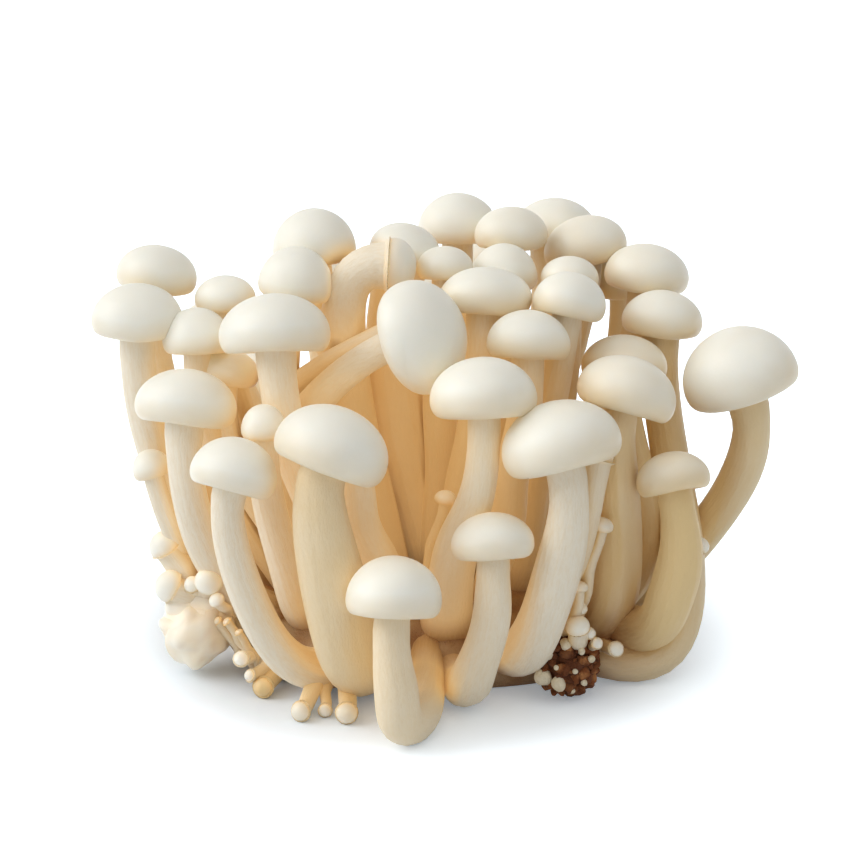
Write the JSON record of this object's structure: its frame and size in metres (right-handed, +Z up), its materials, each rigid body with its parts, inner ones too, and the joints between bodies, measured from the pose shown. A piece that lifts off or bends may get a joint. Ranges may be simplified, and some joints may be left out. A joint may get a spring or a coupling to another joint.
{
  "type": "white shimeji mushroom bunch",
  "caption": "Bunch of white shimeji mushrooms: domed white caps on curved cream stems that fan up from a cut base of mycelium, with small buds and a crumb of growing medium.",
  "frame": {"origin": "middle of the flat face where the mycelium base was cut, which the bunch rests on", "axes": "+Z up, from the cut face to the caps; +X along the bunch's widest side, to the right seen from its front; -Y towards its front"},
  "size_m": [0.1207, 0.1048, 0.0777],
  "materials": {
    "mushroom_flesh": "satin, waxy and a little translucent; white caps on cream stems",
    "mycelium": "matte, felted, cream to amber",
    "growing_medium": "rough, damp, dark brown grains"
  },
  "bodies": {
    "root": {"mycelium_base": "mycelium", "mushroom_01": "mushroom_flesh", "mushroom_02": "mushroom_flesh", "mushroom_03": "mushroom_flesh", "mushroom_04": "mushroom_flesh", "mushroom_05": "mushroom_flesh", "mushroom_06": "mushroom_flesh", "mushroom_07": "mushroom_flesh", "mushroom_08": "mushroom_flesh", "mushroom_09": "mushroom_flesh", "mushroom_10": "mushroom_flesh", "mushroom_11": "mushroom_flesh", "mushroom_12": "mushroom_flesh", "mushroom_13": "mushroom_flesh", "mushroom_14": "mushroom_flesh", "mushroom_15": "mushroom_flesh", "mushroom_16": "mushroom_flesh", "mushroom_17": "mushroom_flesh", "mushroom_18": "mushroom_flesh", "mushroom_19": "mushroom_flesh", "mushroom_20": "mushroom_flesh", "mushroom_21": "mushroom_flesh", "mushroom_22": "mushroom_flesh", "mushroom_23": "mushroom_flesh", "mushroom_24": "mushroom_flesh", "mushroom_25": "mushroom_flesh", "mushroom_26": "mushroom_flesh", "mushroom_27": "mushroom_flesh", "mushroom_28": "mushroom_flesh", "mushroom_29": "mushroom_flesh", "mushroom_30": "mushroom_flesh", "mushroom_31": "mushroom_flesh", "mushroom_32": "mushroom_flesh", "mushroom_33": "mushroom_flesh", "mushroom_34": "mushroom_flesh", "mushroom_35": "mushroom_flesh", "mushroom_36": "mushroom_flesh", "mushroom_37": "mushroom_flesh", "mushroom_38": "mushroom_flesh", "mushroom_39": "mushroom_flesh", "mushroom_40": "mushroom_flesh", "mushroom_41": "mushroom_flesh", "mushroom_42": "mushroom_flesh", "mushroom_43": "mushroom_flesh", "mushroom_44": "mushroom_flesh", "mushroom_45": "mushroom_flesh", "mushroom_46": "mushroom_flesh", "mushroom_47": "mushroom_flesh", "mushroom_48": "mushroom_flesh", "mushroom_49": "mushroom_flesh", "mushroom_50": "mushroom_flesh", "cut_stump": "mushroom_flesh", "bud_01": "mushroom_flesh", "bud_02": "mushroom_flesh", "bud_03": "mushroom_flesh", "bud_04": "mushroom_flesh", "bud_05": "mushroom_flesh", "bud_06": "mushroom_flesh", "bud_07": "mushroom_flesh", "growing_medium": "growing_medium"}
  },
  "joints": []
}
